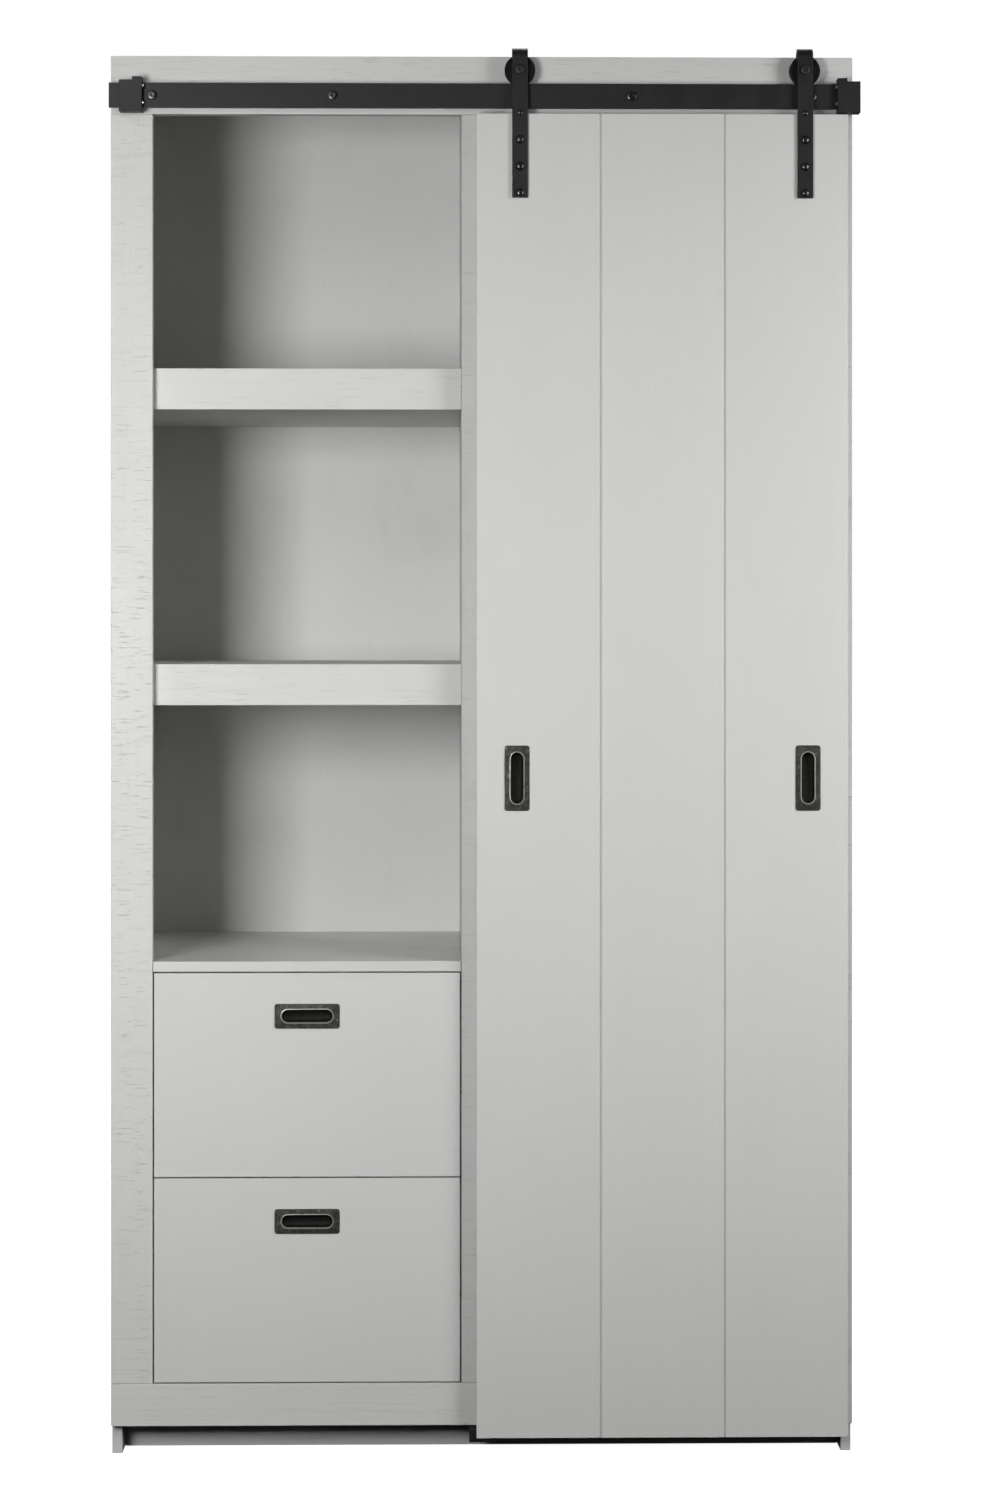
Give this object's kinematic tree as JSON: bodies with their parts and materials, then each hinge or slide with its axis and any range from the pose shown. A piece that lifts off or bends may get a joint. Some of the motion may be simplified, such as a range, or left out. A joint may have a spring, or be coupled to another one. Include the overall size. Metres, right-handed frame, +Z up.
{
  "type": "sliding door wardrobe",
  "caption": "Painted face-frame wardrobe with open shelf bays above drawers, and a hanging bay behind a planked door that rolls along a flat steel track on strap hangers.",
  "frame": {"origin": "on the floor, under the middle of the whole assembly's box (3.75 mm right of the cabinet's own centre line and 246.45 mm behind the face frame's front)", "axes": "+X to the right as seen from the front, +Y from the front to the back, +Z up"},
  "size_m": [1.1506, 0.567, 2.16],
  "materials": {
    "painted_wood": "light warm grey matt paint brushed over sawn pine, its saw lines and grain showing through",
    "black_steel": "matt black powder coat",
    "aged_pewter": "dark antique pewter, mottled, rubbed bright along the edges",
    "zinc_steel": "bright zinc plate",
    "chromed_steel": "polished chrome"
  },
  "bodies": {
    "carcass": {"side_panel_left": "painted_wood", "side_panel_right": "painted_wood", "top_panel": "painted_wood", "bottom_panel": "painted_wood", "back_panel": "painted_wood", "centre_partition": "painted_wood", "plinth_board": "painted_wood", "stile_left": "painted_wood", "stile_centre": "painted_wood", "stile_right": "painted_wood", "bottom_rail": "painted_wood", "top_rail": "painted_wood", "shelf_middle": "painted_wood", "shelf_upper": "painted_wood", "drawer_bay_header": "painted_wood", "drawer_bay_deck": "painted_wood", "drawer_bay_liner": "painted_wood", "hat_shelf": "painted_wood", "rail_socket_left": "chromed_steel", "rail_socket_right": "chromed_steel", "clothes_rail": "chromed_steel", "track_bar": "black_steel", "floor_guide": "black_steel", "track_bolt_1": "black_steel", "track_bolt_2": "black_steel", "track_bolt_3": "black_steel", "track_bolt_4": "black_steel", "cabinet_runner_drawer_lower_left": "zinc_steel", "cabinet_runner_drawer_lower_right": "zinc_steel", "cabinet_runner_drawer_upper_left": "zinc_steel", "cabinet_runner_drawer_upper_right": "zinc_steel"},
    "door": {"door_plank_left": "painted_wood", "door_plank_middle": "painted_wood", "door_plank_right": "painted_wood", "door_pull_left": "aged_pewter", "door_pull_right": "aged_pewter", "hanger_strap_left": "black_steel", "hanger_strap_right": "black_steel", "axle_bolt_left": "black_steel", "axle_bolt_right": "black_steel"},
    "wheel_left": {"wheel_left": "black_steel"},
    "wheel_right": {"wheel_right": "black_steel"},
    "drawer_upper": {"drawer_upper_front": "painted_wood", "drawer_upper_side_left": "painted_wood", "drawer_upper_side_right": "painted_wood", "drawer_upper_bottom": "painted_wood", "drawer_upper_back": "painted_wood", "drawer_upper_pull": "aged_pewter", "drawer_runner_drawer_upper_left": "zinc_steel", "drawer_runner_drawer_upper_right": "zinc_steel"},
    "drawer_lower": {"drawer_lower_front": "painted_wood", "drawer_lower_side_left": "painted_wood", "drawer_lower_side_right": "painted_wood", "drawer_lower_bottom": "painted_wood", "drawer_lower_back": "painted_wood", "drawer_lower_pull": "aged_pewter", "drawer_runner_drawer_lower_left": "zinc_steel", "drawer_runner_drawer_lower_right": "zinc_steel"},
    "stop_left": {"end_stop_left": "black_steel"},
    "stop_right": {"end_stop_right": "black_steel"}
  },
  "joints": [
    {"name": "door_slide", "type": "slide", "parent": "carcass", "child": "door", "axis": [1, 0, 0], "range_m": [-0.556, 0.025]},
    {"name": "wheel_left_roll", "type": "hinge", "parent": "door", "child": "wheel_left", "pos_m": [0.05375, -0.26445, 2.1261], "axis": [0, 1, 0], "continuous": true},
    {"name": "wheel_right_roll", "type": "hinge", "parent": "door", "child": "wheel_right", "pos_m": [0.49075, -0.26445, 2.1261], "axis": [0, 1, 0], "continuous": true},
    {"name": "drawer_upper_slide", "type": "slide", "parent": "carcass", "child": "drawer_upper", "axis": [0, -1, 0], "range_m": [0, 0.35]},
    {"name": "drawer_lower_slide", "type": "slide", "parent": "carcass", "child": "drawer_lower", "axis": [0, -1, 0], "range_m": [0, 0.35]},
    {"name": "stop_left_slide", "type": "slide", "parent": "carcass", "child": "stop_left", "axis": [1, 0, 0], "range_m": [-0.016, 0.004]},
    {"name": "stop_right_slide", "type": "slide", "parent": "carcass", "child": "stop_right", "axis": [1, 0, 0], "range_m": [-0.02, 0.004]}
  ],
  "couplings": [
    {"joint": "wheel_left_roll", "follows": "door_slide", "rad_per_m": 50.505},
    {"joint": "wheel_right_roll", "follows": "door_slide", "rad_per_m": 50.505}
  ]
}
